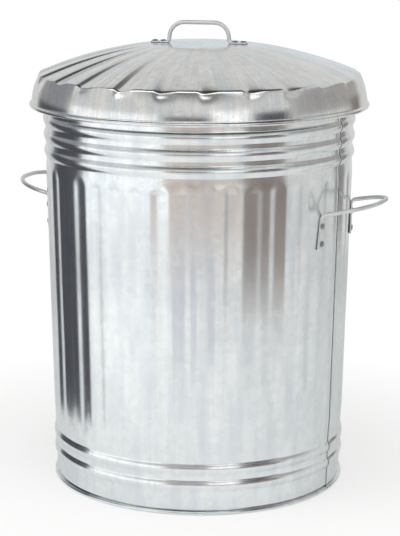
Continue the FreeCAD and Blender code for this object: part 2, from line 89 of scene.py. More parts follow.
class DustbinWallSizes(bpy.types.PropertyGroup):
    """Sizes of the bin's wall and of the pan under it"""
    sheet: length("Sheet", "Thickness of the zinc-coated sheet", 0.0008)
    foot_radius: length("Foot radius", "Outside of the plain wall, drawn down to the floor", 0.2159)
    taper: share("Taper", "Growth of the wall's radius for each unit of height", 0.0266)
    foot: length("Foot", "Lower edge of the wall, on the rolled foot rim", 0.005)
    neck: length("Neck", "Height above which the wall is straight", 0.5555)
    bead_width: length("Bead width", "Width of a swaged bead", 0.0172)
    bead_rise: length("Bead rise", "How far a bead stands out of the wall", 0.0031)
    beads: FloatVectorProperty(
        name="Beads", description="Heights of the beads' crests", size=5, unit="LENGTH",
        precision=5, default=(0.0425, 0.067, 0.4995, 0.5235, 0.5475))
    flute_count: IntProperty(
        name="Flutes", description="Flute pitches round the wall, one of them plain", default=42)
    flute_low: length("Flute low end", "Lowest point of the flutes", 0.089)
    flute_low_run: length("Low run-out", "Length of a flute's lower end", 0.024)
    flute_high: length("Flute high end", "Highest point of the flutes", 0.4835)
    flute_high_run: length("High run-out", "Length of a flute's upper end", 0.017)
    land_rise: length("Land rise", "How far the lands stand out of the plain wall", 0.0012)
    flute_depth: length("Flute depth", "Land to floor of a flute", 0.0013)
    flute_mouth: share("Flute mouth", "Mouth of a flute, as a share of its pitch", 0.94)
    flute_floor: share("Flute floor", "Floor of a flute, as a share of its pitch", 0.04)
    seam: degrees("Seam", "Direction of the side seam", -27)
    seam_width: degrees("Seam width", "Width of the folded seam", 2.3)
    seam_rise: length("Seam rise", "How far the folded seam stands out", 0.0009)
    rim_radius: length("Rim radius", "Outside of the rolled rim", 0.2362)
    rim_roll: length("Rim roll", "Thickness of the rolled rim", 0.006)
    ripple: length("Ripple", "Height of the slow waves in the sheet", 0.00018)
    pan_height: length("Pan height", "Underside of the base pan", 0.0212)
    foot_rim_radius: length("Foot rim radius", "Outside of the rolled foot rim", 0.22)


class DustbinLidSizes(bpy.types.PropertyGroup):
    """Sizes of the lid"""
    corner_radius: length("Corner radius", "Corner between dome and skirt", 0.2393)
    disc_radius: length("Disc radius", "Flat centre of the lid", 0.073)
    crown: length("Crown", "Lid corner to the flat centre", 0.0428)
    dome_radius: length("Dome radius", "Where the height of the dome is given", 0.1488)
    dome_height: length("Dome height", "Lid corner to the dome at that radius", 0.0296)
    waist_radius: length("Waist radius", "Skirt, half way down", 0.2474)
    waist_drop: length("Waist drop", "Lid corner to the half way mark", 0.0222)
    hem_radius: length("Hem radius", "Centre of the rolled hem", 0.2505)
    hem_drop: length("Hem drop", "Lid corner to the centre of the hem", 0.0455)
    hem: length("Hem", "Thickness of the rolled hem", 0.0063)
    flute_count: IntProperty(name="Flutes", description="Radial flutes", default=24)
    flute_turn: degrees("Flute turn", "Direction of the first flute", 1.5)
    flute_fall: degrees("Flute fall", "Width of a flute's steep side", 2.9)
    flute_climb: degrees("Flute climb", "Width of a flute's gentle side", 7.2)
    flute_depth: length("Flute depth", "Depth of a flute at the corner", 0.0053)
    flat_side: degrees("Flat side", "Direction in which the flutes are shallowest", -20)
    corner_round: length("Corner rounding", "Reach of the rounded corner", 0.0024)
    ripple: length("Ripple", "Height of the slow waves in the sheet", 0.00025)


class DustbinHandleSizes(bpy.types.PropertyGroup):
    """Sizes of the wire handles and of their rivets"""
    wire: length("Wire", "Thickness of the wire", 0.0062)
    flat_low: length("Flat low", "Width of a flattened leg at its lower end", 0.0185)
    flat_high: length("Flat high", "Width of a flattened leg where its wire begins", 0.0078)
    flat_thickness: length("Flat thickness", "Thickness of a flattened end", 0.003)
    leg_pitches: share("Leg pitches", "Flute pitches from one leg to the other", 4)
    leg_low: length("Leg foot", "Lower end of a leg", 0.3752)
    leg_bend: length("Leg bend", "Bend from leg to loop, on the wire's centre", 0.007)
    loop_height: length("Loop height", "Wire where it leaves the leg", 0.425)
    loop_rise: length("Loop rise", "How far the loop climbs to its tip", 0.014)
    loop_reach: length("Loop reach", "Outside of the loop, from the bin's axis", 0.2917)
    loop_corner: length("Loop corner", "Bend of the loop, on the wire's centre", 0.06)
    rivet_low: length("Lower rivet", "Height of the lower rivets", 0.383)
    rivet_high: length("Upper rivet", "Height of the upper rivets", 0.409)
    head_radius: length("Head radius", "Radius of a rivet's head", 0.0045)
    head_height: length("Head height", "Height of a rivet's head", 0.0019)
    shank_radius: length("Shank radius", "Radius of a rivet's shank", 0.0024)
    shank_tail: length("Shank tail", "End of a shank behind the sheet", 0.001)
    grip_turn: degrees("Grip turn", "Direction of the lid handle", -12)
    grip_half_top: length("Grip half top", "Middle of the grip to its bend", 0.043)
    grip_half_foot: length("Grip half foot", "Middle of the grip to the foot of its wire", 0.046)
    grip_corner: length("Grip corner", "Upper bend, on the wire's centre", 0.0225)
    grip_foot_width: length("Grip foot width", "Width of a flattened foot", 0.0118)
    grip_foot_bend: length("Grip foot bend", "Lower bend, on the wire's centre", 0.0045)
    grip_foot_end: length("Grip foot end", "Middle of the grip to the end of a foot", 0.0728)
    grip_rivets: FloatVectorProperty(
        name="Grip rivets", description="Middle of the grip to its rivets", size=2, unit="LENGTH",
        precision=5, default=(0.0545, 0.067))


class DustbinFinish(bpy.types.PropertyGroup):
    """Colours and textures of the metal, with painted shade in the side seam's joints and on the rivets"""
    zinc: paint("Zinc", "Fresh hot-dip zinc on the wall", "#F0F4F5")
    zinc_dull: paint("Dull zinc", "Darker crystals and stains in the zinc", "#DCE2E5")
    lid_zinc: paint("Lid zinc", "Zinc on the lid, slightly warmer", "#F0F1F0")
    lid_zinc_dull: paint("Dull lid zinc", "Rubbed zinc on the lid", "#D5D7D6")
    wire_zinc: paint("Wire zinc", "Zinc on the wire", "#E6EAEB")
    wire_dull: paint("Dull wire zinc", "Rubbed zinc on the wire", "#BFC4C6")
    # painted shade: both rivet colours are darkened to stand in for the shaded rivet heads
    rivet_shaded_zinc: paint("Rivet zinc", "Plating on the rivets", "#8F9193")
    rivet_shaded_dull: paint("Dull rivet", "Grime round the rivets", "#5C5D60")
    spangle: length("Spangle", "Size of a zinc crystal", 0.009)
    streak: length("Streak", "Width of a drawn streak", 0.004)
    streak_length: length("Streak length", "Length of a drawn streak", 0.11)
    grain: length("Grain", "Size of the finest mottling", 0.0016)
    cloud: length("Cloud", "Size of a cloud in the zinc", 1 / 14)
    run: length("Run", "Width of a run, where the zinc drained off", 0.024)
    run_zinc: paint("Run zinc", "Bluer zinc in a run", "#CFD8E0")
    # painted shade: a dark line standing in for the shadow in the side seam's joints
    joint_shade: paint("Joint", "Shadow in the joints of the side seam", "#3A3A3D")


# ---------------- helpers

def linear(text):
    """Turn an sRGB hex value into linear red, green, blue and alpha."""
    channels = [int(text[i:i + 2], 16) / 255 for i in (1, 3, 5)]
    return [c / 12.92 if c <= 0.04045 else ((c + 0.055) / 1.055) ** 2.4 for c in channels] + [1.0]


def add_node(tree, kind, settings=None, links=None):
    """Add a shader node of a kind; settings set its attributes or, by number or name, its inputs.

    A link comes from a socket, or from a node's first output.
    """
    item = tree.nodes.new("ShaderNode" + kind)
    for key, value in (settings or {}).items():
        if isinstance(key, str) and hasattr(item, key):
            setattr(item, key, value)
        else:
            item.inputs[key].default_value = value
    for key, source in (links or {}).items():
        tree.links.new(getattr(source, "outputs", [source])[0], item.inputs[key])
    return item


def new_object(name, data):
    """An object in the scene."""
    item = bpy.data.objects.new(name, data)
    bpy.context.scene.collection.objects.link(item)
    return item


def smooth(x):
    """Rise from 0 to 1 with level ends."""
    x = np.clip(x, 0, 1)
    return x * x * (3 - 2 * x)


def angle_from(direction, angles):
    """Angles as seen from a direction, from half a turn back to half a turn ahead."""
    return (angles - direction + math.pi) % (2 * math.pi) - math.pi


def new_piece(name, mesh, body, slot, node):
    """Give a mesh its metal, as a piece that rides on a body and stands for a CAD node."""
    mesh.materials.append(METALS[slot](bpy.context.scene.dustbin_finish))
    piece = new_object(name, mesh)
    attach(piece, body)
    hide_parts(node)


def grid_mesh(name, points, wrap_rows):
    """A mesh from points[column, row]; columns close round, rows close if wrap_rows."""
    columns, rows = points.shape[:2]
    index = np.arange(columns * rows).reshape(columns, rows)
    across = np.roll(index, -1, axis=0)
    if wrap_rows:
        quads = np.stack([index, across, np.roll(across, -1, 1), np.roll(index, -1, 1)], axis=-1)
    else:
        quads = np.stack([index[:, :-1], across[:, :-1], across[:, 1:], index[:, 1:]], axis=-1)
    mesh = bpy.data.meshes.new(name)
    mesh.from_pydata(points.reshape(-1, 3), [], quads.reshape(-1, 4))
    return mesh


def clean_mesh(mesh, gap=1e-6):
    """Weld points that coincide, turn all faces outwards and shade them smooth."""
    work = bmesh.new()
    work.from_mesh(mesh)
    bmesh.ops.remove_doubles(work, verts=work.verts, dist=gap)
    bmesh.ops.dissolve_degenerate(work, edges=work.edges, dist=gap)
    bmesh.ops.recalc_face_normals(work, faces=work.faces)
    work.to_mesh(mesh)
    work.free()
    mesh.shade_smooth()
    return mesh


def turned_mesh(name, radius, height, angles):
    """A mesh turned about Z: radius[column, row] and height[column, row] close into a ring."""
    across = np.cos(angles)[:, None]
    along = np.sin(angles)[:, None]
    points = np.stack([radius * across, radius * along, np.broadcast_to(height, radius.shape)], axis=-1)
    return clean_mesh(grid_mesh(name, points, True))


def lathe_mesh(name, profile, sides):
    """Turn a closed profile of (radius, height) about Z."""
    profile = np.array(profile)
    angles = np.linspace(0, 2 * math.pi, sides, endpoint=False)
    radius = np.broadcast_to(profile[:, 0], (sides, len(profile)))
    return turned_mesh(name, radius, profile[:, 1], angles)


def arc(centre, radius, start, end, steps):
    """Points of an arc in the plane of radius and height; angles in degrees."""
    turn = np.radians(np.linspace(start, end, steps))
    return [(centre[0] + radius * math.cos(t), centre[1] + radius * math.sin(t)) for t in turn]


def rounded_line(corners, radii, step):
    """Points along straight runs that arcs of the given radii join."""
    points = [corners[0]]
    for before, corner, after, radius in zip(corners, corners[1:], corners[2:], radii):
        back = (before - corner).normalized()
        ahead = (after - corner).normalized()
        half = back.angle(ahead) / 2
        reach = radius / math.tan(half)
        centre = corner + (back + ahead).normalized() * (radius / math.sin(half))
        start = corner + back * reach - centre
        turn = math.pi - 2 * half
        axis = start.cross(corner + ahead * reach - centre).normalized()
        count = max(4, int(radius * turn / step))
        for i in range(count + 1):
            points.append(centre + Matrix.Rotation(turn * i / count, 3, axis) @ start)
    points.append(corners[-1])
    dense = [points[0]]
    for start, end in zip(points, points[1:]):
        count = max(1, int((end - start).length / step))
        dense += [start.lerp(end, (i + 1) / count) for i in range(count)]
    return dense


# ---------------- wall of the bin

def wall_columns(sizes):
    """Directions round the wall, closer together at the seam."""
    per_flute = 18
    count = sizes.flute_count * per_flute
    even = np.arange(count) * 2 * math.pi / count
    half = sizes.seam_width / 2
    step = math.radians(0.05)
    near = [side * (half + step * i) for side in (-1, 1) for i in (-2, -1, 0, 1, 3, 6)]
    keep = [turn for turn in even if min(abs(angle_from(0, turn) - edge) for edge in near) > step]
    return np.sort(np.concatenate([keep, near])) + sizes.seam


def wall_rows(sizes):
    """Heights of the outside rows, closer together where the wall is shaped."""
    low_beads_foot, low_beads_top = 0.033, 0.077
    neck_foot, rim_foot = 0.557, 0.6035
    stops = [  # where a stretch begins, and the step between its rows
        (sizes.foot, 0.004),
        (low_beads_foot, 0.0011),
        (low_beads_top, 0.004),
        (sizes.flute_low - 0.002, 0.0016),
        (sizes.flute_low + sizes.flute_low_run + 0.004, 0.0075),
        (sizes.flute_high - sizes.flute_high_run - 0.006, 0.0013),
        (sizes.flute_high + 0.003, 0.0011),
        (neck_foot, 0.005),
        (rim_foot, 0.005),
    ]
    rows = []
    for (low, step), (high, _) in zip(stops, stops[1:]):
        rows += list(np.linspace(low, high, max(2, round((high - low) / step)), endpoint=False))
    return np.array(rows + [stops[-1][0]])


def nearest_flutes(angles, first, count, seed, most):
    """For each direction: number of the nearest flute, pitches off its middle, and how it differs.

    Each difference is at most so much either way, and the same every time.
    """
    place = (angles - first) / (2 * math.pi / count)
    number = np.round(place).astype(int) % count
    vary = np.random.RandomState(seed).uniform(-1, 1, (len(most), count))
    return number, place - np.round(place), [amount * row[number] for amount, row in zip(most, vary)]


def flute_pattern(sizes, angles, heights):
    """How far the fluted band stands out of the plain wall; pitch 0 is plain, for the seam."""
    number, off, (shift, wide, deep, low_end, high_end) = nearest_flutes(
        angles, sizes.seam, sizes.flute_count, seed=7, most=(0.012, 0.03, 0.08, 0.0022, 0.0018))
    off = np.abs(off + shift) / (sizes.flute_mouth / 2 * (1 + wide))
    low = sizes.flute_low + low_end
    high = sizes.flute_high + high_end
    past_low = np.clip((low[:, None] + sizes.flute_low_run - heights) / sizes.flute_low_run, 0, None)
    past_high = np.clip((heights - high[:, None] + sizes.flute_high_run) / sizes.flute_high_run, 0, None)
    reach = np.sqrt(off[:, None] ** 2 + past_low ** 2 + past_high ** 2)
    floor = sizes.flute_floor / sizes.flute_mouth
    groove = smooth((1 - reach) / (1 - floor)) * (number != 0)[:, None]
    rise = smooth((heights - sizes.flute_low + 0.006) / 0.03)
    rise *= smooth((sizes.flute_high + 0.004 - heights) / 0.018)
    depth = sizes.flute_depth * (1 + deep)
    return sizes.land_rise * rise - depth[:, None] * groove


def bead_pattern(sizes, heights):
    """How far the swaged beads stand out of the wall; a bead's foot runs out softly."""
    softness = 1.3
    total = np.zeros_like(heights)
    for crest in sizes.beads:
        off = np.clip(np.abs(heights - crest) / (sizes.bead_width / 2), 0, 1)
        total += sizes.bead_rise * (1 - off ** 2) ** softness
    return total


def ripple(angles, along, height, seed):
    """Slow waves in a sheet, the same every time; height is about that of the highest."""
    waves = 9
    highest = 2.2
    chance = np.random.RandomState(seed)
    total = np.zeros((len(angles), len(along)))
    for _ in range(waves):
        around = chance.randint(2, 15)
        lift = chance.uniform(8, 55)
        phase = chance.uniform(0, 2 * math.pi)
        total += np.sin(angles[:, None] * around + along[None, :] * lift + phase) / math.sqrt(around)
    return height * total / highest


def wall_surface(sizes, angles, heights):
    """Outside radius of the wall for all directions and heights, without its seam."""
    plain = sizes.foot_radius + sizes.taper * np.minimum(heights, sizes.neck)
    radius = plain + bead_pattern(sizes, heights) + flute_pattern(sizes, angles, heights)
    run = 0.03
    calm = smooth((heights - sizes.foot) / run) * smooth((sizes.neck + run - heights) / 0.05)
    return radius + ripple(angles, heights, sizes.ripple, seed=3) * calm


def seam_pattern(sizes, angles):
    """The folded seam: a raised strip with a fine ditch along each edge."""
    ditch_depth = 0.0006
    ditch_reach = 2.2
    edge = math.radians(0.06)
    off = (np.abs(angle_from(sizes.seam, angles)) - sizes.seam_width / 2) / edge
    strip = sizes.seam_rise * (1 - smooth(off + 0.5))
    ditch = ditch_depth * np.clip(1 - np.abs(off - ditch_reach) / ditch_reach, 0, 1)
    return strip - ditch


class DUSTBIN_OT_wall(bpy.types.Operator):
    """Build the fluted and beaded wall with its rolled rim"""
    bl_idname = "dustbin.build_wall"
    bl_label = "Wall"

    def execute(self, context):
        sizes = context.scene.dustbin_wall
        angles = wall_columns(sizes)
        heights = wall_rows(sizes)
        skin = wall_surface(sizes, angles, heights)
        outside = skin + seam_pattern(sizes, angles)[:, None]
        roll = sizes.rim_roll / 2
        centre = (sizes.rim_radius - roll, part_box("body_shell")[1].z - roll)
        rim = np.array(arc(centre, roll, start=215, end=535, steps=22))
        inner_rows = np.arange(len(heights))[::-2]
        inner_rows = np.append(inner_rows[inner_rows > 0], 0)
        inside = skin[:, inner_rows] - sizes.sheet
        columns = len(angles)
        radius = np.hstack([outside, np.broadcast_to(rim[:, 0], (columns, len(rim))), inside])
        height = np.concatenate([heights, rim[:, 1], heights[inner_rows]])
        mesh = turned_mesh("bin_wall", radius, height, angles)
        new_piece("bin_wall", mesh, "bin", "galvanised_sheet", "body_shell")
        return {"FINISHED"}


def pan_floor(reach, height):
    """Meridian of the pan's floor, from near its centre outwards, with a trace of rings in it."""
    parts = 12
    ring = 0.0006
    return [(reach * i / parts, height + ring * math.cos(i * 0.9)) for i in range(1, parts)]


class DUSTBIN_OT_pan(bpy.types.Operator):
    """Build the base pan with the rolled foot rim"""
    bl_idname = "dustbin.build_pan"
    bl_label = "Base pan"

    def execute(self, context):
        sizes = context.scene.dustbin_wall
        sheet = sizes.sheet
        clearance = 0.0002
        flange_high, flange_middle, flange_low = 0.014, 0.009, 0.004
        flange = sizes.foot_radius - sheet - clearance
        low = sizes.pan_height
        high = low + sheet
        roll = sizes.foot / 2
        rim = (sizes.foot_rim_radius - roll, roll)
        bend = 0.004
        knee = (flange - bend, high - bend)
        profile = [(0, high)] + pan_floor(flange, high)
        profile += arc(knee, bend, start=90, end=0, steps=7)
        profile += [(flange, flange_high), (flange, flange_middle), (flange + clearance / 2, 2 * roll)]
        profile += arc(rim, roll, start=100, end=-140, steps=16)
        profile += [(flange - sheet, flange_low), (flange - sheet, flange_high)]
        profile += arc(knee, bend - sheet, start=0, end=90, steps=7)
        profile += pan_floor(flange, low)[::-1] + [(0, low)]
        mesh = lathe_mesh("base_pan_sheet", profile, sides=288)
        new_piece("base_pan_sheet", mesh, "bin", "galvanised_sheet", "base_pan")
        return {"FINISHED"}


# ---------------- lid

def parabola(near, far):
    """Tilt and bow of the curve tilt * x - bow * x ** 2 through (0, 0) and two more points."""
    slope = near[1] / near[0]
    bow = (slope - far[1] / far[0]) / (far[0] - near[0])
    return slope + bow * near[0], bow


def lid_profiles(sizes):
    """Meridians of the lands and of the flute floors, and how far out to the corner each point is."""
    span = sizes.corner_radius - sizes.disc_radius
    hem_top = sizes.hem_drop - sizes.hem / 2
    tilt, bow = parabola(
        (sizes.dome_radius - sizes.disc_radius, sizes.crown - sizes.dome_height), (span, sizes.crown))
    skirt_tilt, skirt_bow = parabola(
        (sizes.waist_drop, sizes.waist_radius - sizes.corner_radius),
        (sizes.hem_drop, sizes.hem_radius - sizes.corner_radius))

    def dome(radius):
        out = np.maximum(radius - sizes.disc_radius, 0)
        return sizes.crown - tilt * out + bow * out ** 2

    def skirt(drop):
        return sizes.corner_radius + skirt_tilt * drop - skirt_bow * drop ** 2

    gap = 0.0015
    disc = np.linspace(0, sizes.disc_radius - 2 * gap, 8)
    run = np.linspace(sizes.disc_radius - gap, sizes.corner_radius - sizes.corner_round, 62)
    radius = np.concatenate([disc, run])
    height = dome(radius)
    t = np.linspace(0, 1, 8)[1:-1]
    before = (radius[-1], height[-1])
    corner = (sizes.corner_radius, 0)
    after = (skirt(sizes.corner_round), -sizes.corner_round)
    bend = np.outer((1 - t) ** 2, before) + np.outer(2 * t * (1 - t), corner) + np.outer(t ** 2, after)
    drops = np.linspace(sizes.corner_round, hem_top, 26)
    land = np.vstack([
        np.column_stack([radius, height]), bend, np.column_stack([skirt(drops), -drops])])
    out = np.clip((land[:, 0] - sizes.disc_radius) / span, 0, 1)
    drop = np.clip(-land[:, 1] / sizes.waist_drop, 0, 1)
    on_dome = np.arange(len(land)) < len(radius)
    growth = 0.75
    corner_lean = 0.2  # how far a flute's floor is set inwards there, as a share of its depth
    most_lean = 0.95
    depth = np.where(on_dome, out ** growth, (1 - drop) ** 2) * sizes.flute_depth
    lean = np.where(on_dome, corner_lean * out, corner_lean + 0.75 * smooth(2.2 * drop))
    floor = land - np.column_stack([depth * lean, depth * np.sqrt(1 - np.minimum(lean, most_lean) ** 2)])
    return land, floor, np.where(on_dome, out, 1)


def lid_flutes(sizes, angles, outward):
    """Share of the way from land to flute floor, for each direction and meridian point.

    On the dome the flutes fade towards the flat side, and at the corner they stay as notches.
    """
    usual_depth = 0.8
    dome_least = 0.15
    corner_least = 0.45
    notch_sharpness = 12
    pitch = 2 * math.pi / sizes.flute_count
    _, off, (shift, wide, deep) = nearest_flutes(
        angles, sizes.flute_turn, sizes.flute_count, seed=11, most=(0.05, 0.15, 0.15))
    off = (off + shift) * pitch
    side = np.where(off < 0, sizes.flute_fall, sizes.flute_climb) * (1 + wide)
    left = 0.5 - 0.5 * np.cos(angles - sizes.flat_side)
    groove = smooth(1 - np.abs(off) / side) * (usual_depth + deep)
    on_dome = groove * (dome_least + (1 - dome_least) * smooth((left - 0.38) / 0.18))
    at_corner = groove * (corner_least + (1 - corner_least) * left)
    return on_dome[:, None] + (at_corner - on_dome)[:, None] * outward[None] ** notch_sharpness


class DUSTBIN_OT_lid(bpy.types.Operator):
    """Build the pressed lid with its flutes, skirt and rolled hem"""
    bl_idname = "dustbin.build_lid"
    bl_label = "Lid"

    def execute(self, context):
        sizes = context.scene.dustbin_lid
        sheet = context.scene.dustbin_wall.sheet
        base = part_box("lid_handle")[0].z - sizes.crown
        per_flute = 32
        angles = np.linspace(0, 2 * math.pi, sizes.flute_count * per_flute, endpoint=False)
        land, floor, outward = lid_profiles(sizes)
        groove = lid_flutes(sizes, angles, outward)
        outside = land[None] + groove[..., None] * (floor - land)[None]
        waves = ripple(angles, land[:, 0] - land[:, 1], sizes.ripple, seed=5)
        waves *= smooth(land[:, 0] / sizes.disc_radius)[None]
        along = np.gradient(land, axis=0)
        normal = np.column_stack([-along[:, 1], along[:, 0]])
        normal /= np.linalg.norm(normal, axis=1)[:, None]
        outside = outside + waves[..., None] * normal[None]
        inside = (outside - sheet * normal[None])[:, ::-1]
        inside[:, -1, 0] = 0
        roll = sizes.hem / 2
        centre = (sizes.hem_radius, -sizes.hem_drop)
        hem = np.array(arc(centre, roll, start=84, end=-248, steps=24))
        hem = np.broadcast_to(hem, (len(angles),) + hem.shape)
        rings = np.concatenate([outside[:, :-1], hem, inside[:, 2:]], axis=1)
        mesh = turned_mesh("lid_sheet", rings[..., 0], rings[..., 1] + base, angles)
        new_piece("lid_sheet", mesh, "lid", "lid_sheet", "lid_shell")
        return {"FINISHED"}


# ---------------- wire and rivets

def sweep_sides(tangents, start_side, end_side):
    """Directions across a path that turn with it, evenly twisted so that the last one is end_side."""
    sides = [start_side]
    for before, after in zip(tangents, tangents[1:]):
        sides.append(before.rotation_difference(after) @ sides[-1])
    error = sides[-1].angle(end_side)
    if sides[-1].cross(end_side).dot(tangents[-1]) < 0:
        error = -error
    last = len(tangents) - 1
    return [Matrix.Rotation(error * i / last, 3, tangents[i]) @ side for i, side in enumerate(sides)]


def wire_end(ring, point, outward):
    """Two rings that close a wire's end with a worn edge."""
    kept = 0.86  # share of the section's size that is left at the edge
    edge_out = 0.0004
    tip_out = 0.0005
    edge = [point + (corner - point) * kept + outward * edge_out for corner in ring]
    tip = [point + outward * tip_out for _ in ring]
    return [edge, tip]


def wire_mesh(name, path, start_side, end_side, flatness, widths, sizes):
    """Sweep the wire's section along a path; where flatness is 1 it is a flat of the given width."""
    around = 20
    squareness = 0.45  # of a flat's section; the round wire's is 0
    count = len(path)
    tangents = [(path[min(i + 1, count - 1)] - path[max(i - 1, 0)]).normalized() for i in range(count)]
    sides = sweep_sides(tangents, start_side, end_side)
    rings = []
    for point, tangent, side, flat, flat_width in zip(path, tangents, sides, flatness, widths):
        width = sizes.wire / 2 * (1 - flat) + flat_width / 2 * flat
        thick = sizes.wire / 2 * (1 - flat) + sizes.flat_thickness / 2 * flat
        power = 1 - squareness * flat
        up = tangent.cross(side)
        ring = []
        for step in range(around):
            turn = 2 * math.pi * step / around
            c = math.copysign(abs(math.cos(turn)) ** power, math.cos(turn))
            s = math.copysign(abs(math.sin(turn)) ** power, math.sin(turn))
            ring.append(point + side * (width * c) + up * (thick * s))
        rings.append(ring)
    start = wire_end(rings[0], path[0], -tangents[0])
    end = wire_end(rings[-1], path[-1], tangents[-1])
    points = np.array(start[::-1] + rings + end).transpose(1, 0, 2)
    return clean_mesh(grid_mesh(name, points, False))


def flat_share(path, flat_end, reach):
    """Flatness along a path: 1 up to flat_end from either end, 0 from reach further on."""
    walked = np.concatenate([[0], np.cumsum([(b - a).length for a, b in zip(path, path[1:])])])
    from_end = np.minimum(walked, walked[-1] - walked)
    return 1 - smooth((from_end - flat_end) / reach)


def land_radius(wall, height):
    """Radius of the lands between the flutes."""
    return wall.foot_radius + wall.taper * height + wall.land_rise


def leg_frame(wall, direction, height, lift):
    """Frame over a land: X out of the wall, Z up it, at a lift above the land."""
    turn = Matrix.Rotation(direction, 4, "Z")
    lean = Matrix.Rotation(math.atan(wall.taper), 4, "Y")
    place = Matrix.Translation((land_radius(wall, height), 0, height))
    return turn @ place @ lean @ Matrix.Translation((lift, 0, 0))


def side_directions(wall):
    """Name and direction of each side handle."""
    middle = wall.seam + math.pi / wall.flute_count
    return (("right", middle), ("left", middle + math.pi))


class DUSTBIN_OT_side_handles(bpy.types.Operator):
    """Build the two wire handles on the wall"""
    bl_idname = "dustbin.build_side_handles"
    bl_label = "Side handles"

    def execute(self, context):
        wall = context.scene.dustbin_wall
        sizes = context.scene.dustbin_handles
        spread = sizes.leg_pitches * math.pi / wall.flute_count
        lift = sizes.flat_thickness / 2
        heights = (sizes.leg_low, sizes.loop_height)
        for side, direction in side_directions(wall):
            near, far = [[leg_frame(wall, turn, height, lift).translation for height in heights]
                         for turn in (-spread, spread)]
            tip = sizes.loop_reach - sizes.wire / 2
            top = sizes.loop_height + sizes.loop_rise
            loop = [Vector((tip, leg[1].y, top)) for leg in (near, far)]
            corners = near + loop + far[::-1]
            radii = [sizes.leg_bend, sizes.loop_corner, sizes.loop_corner, sizes.leg_bend]
            path = rounded_line(corners, radii, step=0.0015)
            start = Vector((math.sin(spread), math.cos(spread), 0))
            end = Vector((math.sin(spread), -math.cos(spread), 0))
            leg_length = sizes.loop_height - sizes.leg_low
            wire_run = 0.009
            flat = flat_share(path, leg_length - wire_run, reach=0.015)
            up_leg = [(point.z - sizes.leg_low) / leg_length for point in path]
            widths = sizes.flat_low + (sizes.flat_high - sizes.flat_low) * np.clip(up_leg, 0, 1)
            mesh = wire_mesh(side + "_wire_handle", path, start, end, flat, widths, sizes)
            mesh.transform(Matrix.Rotation(direction, 4, "Z"))
            new_piece(side + "_wire_handle", mesh, "bin", "galvanised_wire", side + "_handle")
        return {"FINISHED"}


def rivet_mesh(name, sizes, grip):
    """A rivet with a low domed head; its seat is at z = 0 and its shank goes down."""
    brim = 0.0004  # height of the head's upright edge
    seat = 0.96  # share of the head's radius that sits flat
    worn = 0.7  # share of the shank's radius left at its end
    worn_from = 0.6  # share of the tail that is plain
    head = [(sizes.head_radius * math.cos(t), brim + (sizes.head_height - brim) * math.sin(t))
            for t in np.linspace(0, math.pi / 2, 8)]
    tail = -grip - sizes.shank_tail
    profile = [(0, tail), (sizes.shank_radius * worn, tail)]
    profile += [(sizes.shank_radius, -grip - sizes.shank_tail * worn_from), (sizes.shank_radius, 0)]
    profile += [(sizes.head_radius * seat, 0)] + head
    profile[-1] = (0, sizes.head_height)
    return lathe_mesh(name, profile, sides=24)


class DUSTBIN_OT_side_rivets(bpy.types.Operator):
    """Build the eight rivets that hold the side handles"""
    bl_idname = "dustbin.build_side_rivets"
    bl_label = "Side rivets"

    def execute(self, context):
        wall = context.scene.dustbin_wall
        sizes = context.scene.dustbin_handles
        spread = sizes.leg_pitches * math.pi / wall.flute_count
        grip = sizes.flat_thickness + wall.sheet
        for side, direction in side_directions(wall):
            front = -1 if side == "right" else 1
            for end, turn in (("front", front * spread), ("rear", -front * spread)):
                for level, height in (("upper", sizes.rivet_high), ("lower", sizes.rivet_low)):
                    name = "_".join((side, "handle", end, level, "rivet"))
                    mesh = rivet_mesh(name + "_head", sizes, grip)
                    place = leg_frame(wall, direction + turn, height, sizes.flat_thickness)
                    mesh.transform(place @ Matrix.Rotation(math.pi / 2, 4, "Y"))
                    new_piece(name + "_head", mesh, "bin", "rivet_steel", name)
        return {"FINISHED"}


def grip_frame(sizes):
    """Frame of the lid handle: X along the grip, Z up, on the flat centre of the lid."""
    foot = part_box("lid_handle")[0].z
    return Matrix.Translation((0, 0, foot)) @ Matrix.Rotation(sizes.grip_turn, 4, "Z")


class DUSTBIN_OT_lid_handle(bpy.types.Operator):
    """Build the wire handle of the lid"""
    bl_idname = "dustbin.build_lid_handle"
    bl_label = "Lid handle"

    def execute(self, context):
        sizes = context.scene.dustbin_handles
        low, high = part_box("lid_handle")
        middle = sizes.flat_thickness / 2
        top = high.z - low.z - sizes.wire / 2
        half = [(sizes.grip_foot_end, middle), (sizes.grip_half_foot, middle), (sizes.grip_half_top, top)]
        corners = [Vector((-x, 0, z)) for x, z in half] + [Vector((x, 0, z)) for x, z in half[::-1]]
        radii = [sizes.grip_foot_bend, sizes.grip_corner, sizes.grip_corner, sizes.grip_foot_bend]
        path = rounded_line(corners, radii, step=0.001)
        side = Vector((0, 1, 0))
        foot_length = sizes.grip_foot_end - sizes.grip_half_foot
        wire_run = 0.008
        flat = flat_share(path, foot_length - wire_run, reach=0.011)
        widths = [sizes.grip_foot_width] * len(path)
        mesh = wire_mesh("lid_wire_handle", path, side, side, flat, widths, sizes)
        mesh.transform(grip_frame(sizes))
        new_piece("lid_wire_handle", mesh, "lid", "galvanised_wire", "lid_handle")
        return {"FINISHED"}


class DUSTBIN_OT_lid_rivets(bpy.types.Operator):
    """Build the four rivets that hold the lid handle"""
    bl_idname = "dustbin.build_lid_rivets"
    bl_label = "Lid rivets"

    def execute(self, context):
        sizes = context.scene.dustbin_handles
        sheet = context.scene.dustbin_wall.sheet
        for side, sign in (("left", -1), ("right", 1)):
            for level, reach in zip(("inner", "outer"), sizes.grip_rivets):
                name = "_".join(("lid_handle", side, level, "rivet"))
                mesh = rivet_mesh(name + "_head", sizes, sizes.flat_thickness + sheet)
                seat = Matrix.Translation((sign * reach, 0, sizes.flat_thickness))
                mesh.transform(grip_frame(sizes) @ seat)
                new_piece(name + "_head", mesh, "lid", "rivet_steel", name)
        return {"FINISHED"}


# ---------------- metals

BIN_RADIUS = 0.24  # turns directions round the bin into lengths along its sheet


